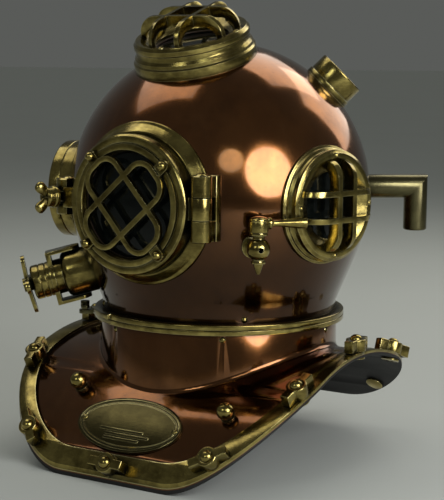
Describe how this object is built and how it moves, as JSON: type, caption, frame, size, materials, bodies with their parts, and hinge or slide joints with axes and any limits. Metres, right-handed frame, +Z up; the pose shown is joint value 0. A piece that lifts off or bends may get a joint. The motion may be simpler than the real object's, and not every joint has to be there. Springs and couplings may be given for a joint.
{
  "type": "diving helmet",
  "caption": "Spherical copper diving helmet with brass caged windows, hinged faceplate and a saddle-shaped breastplate with a bolted rim.",
  "frame": {"origin": "on the neck's axis, on the joint between the two neck rings", "axes": "+Z up along the neck's axis, the face looks along -Y, +X to the wearer's left"},
  "size_m": [0.3474, 0.3726, 0.4483],
  "materials": {
    "copper": "polished dark copper with warm brown tone",
    "brass": "aged brass, polished on its edges and dull in its corners",
    "gasket": "dark greased leather",
    "glass": "clear thick glass",
    "terminal": "dark moulded insulator"
  },
  "bodies": {
    "breastplate": {"breastplate_shell": "copper", "breastplate_neck_ring": "brass", "neck_gasket": "gasket", "collar_rivets": "brass", "rim_strap_front_left": "brass", "rim_strap_front_right": "brass", "rim_strap_back_left": "brass", "rim_strap_back_right": "brass", "rim_studs": "brass", "rim_wing_nuts": "brass", "lanyard_studs": "brass", "nameplate": "brass", "nameplate_screws": "brass", "latch_post": "brass"},
    "latch": {"latch_pawl": "brass"},
    "bonnet": {"bonnet_shell": "copper", "bonnet_neck_ring": "brass", "bonnet_rivets": "brass", "faceplate_seat": "brass", "faceplate_gasket": "gasket", "hinge_pin": "brass", "swing_bolt_pin": "brass", "window_screws": "brass", "left_window_frame": "brass", "left_window_gasket": "gasket", "left_window_glass": "glass", "left_window_retainer": "brass", "left_window_guard": "brass", "right_window_frame": "brass", "right_window_gasket": "gasket", "right_window_glass": "glass", "right_window_retainer": "brass", "right_window_guard": "brass", "top_window_frame": "brass", "top_window_gasket": "gasket", "top_window_glass": "glass", "top_window_retainer": "brass", "top_window_guard": "brass", "exhaust_body": "brass", "exhaust_cap": "brass", "exhaust_clamp": "brass", "spit_cock_body": "brass", "air_inlet_elbow": "brass", "non_return_seat": "brass", "telephone_stub": "brass", "telephone_terminal": "terminal", "telephone_gasket": "gasket"},
    "faceplate": {"faceplate_ring": "brass", "faceplate_glass": "glass", "faceplate_glass_gasket": "gasket", "faceplate_retainer": "brass", "faceplate_guard": "brass", "faceplate_guard_screws": "brass"},
    "bolt": {"swing_bolt": "brass"},
    "lock_nut": {"lock_wing_nut": "brass"},
    "exhaust_wheel": {"exhaust_handwheel": "brass"},
    "exhaust_valve_disc": {"exhaust_disc": "brass"},
    "cock_key": {"spit_cock_key": "brass"},
    "inlet_disc": {"non_return_disc": "brass"},
    "telephone_cap": {"telephone_cap": "brass"}
  },
  "joints": [
    {"name": "bonnet_turn", "type": "hinge", "parent": "breastplate", "child": "bonnet", "pos_m": [0, 0, 0], "axis": [0, 0, -1], "range_deg": [0, 45]},
    {"name": "latch_swing", "type": "hinge", "parent": "breastplate", "child": "latch", "pos_m": [-0.11292, -0.07616, 0], "axis": [0, 0, -1], "range_deg": [0, 75]},
    {"name": "faceplate_hinge", "type": "hinge", "parent": "bonnet", "child": "faceplate", "pos_m": [0.075, -0.145, 0.118], "axis": [0, 0, 1], "range_deg": [0, 110]},
    {"name": "swing_bolt_pivot", "type": "hinge", "parent": "bonnet", "child": "bolt", "pos_m": [-0.082, -0.141, 0.121], "axis": [0, 0, 1], "range_deg": [-75, 16]},
    {"name": "lock_nut_spin", "type": "hinge", "parent": "bolt", "child": "lock_nut", "pos_m": [-0.082, -0.141, 0.121], "axis": [-0.2756, -0.9613, 0], "continuous": true},
    {"name": "exhaust_wheel_turn", "type": "hinge", "parent": "bonnet", "child": "exhaust_wheel", "pos_m": [-0.09771, -0.07634, 0.0445], "axis": [-0.7612, -0.5947, -0.2588], "continuous": true},
    {"name": "exhaust_disc_lift", "type": "slide", "parent": "bonnet", "child": "exhaust_valve_disc", "axis": [-0.7612, -0.5947, -0.2588], "range_m": [0, 0.003], "stiffness_N_per_m": 300, "springref_m": -0.001},
    {"name": "spit_cock_turn", "type": "hinge", "parent": "bonnet", "child": "cock_key", "pos_m": [0.1184, -0.11635, 0.082], "axis": [0, 0, -1], "range_deg": [0, 90]},
    {"name": "non_return_lift", "type": "slide", "parent": "bonnet", "child": "inlet_disc", "axis": [-0.7431, -0.6691, 0], "range_m": [0, 0.003], "stiffness_N_per_m": 100, "springref_m": -0.001},
    {"name": "telephone_cap_turn", "type": "hinge", "parent": "bonnet", "child": "telephone_cap", "pos_m": [0, 0, 0.12], "axis": [0.6124, 0.3536, 0.7071], "continuous": true}
  ]
}
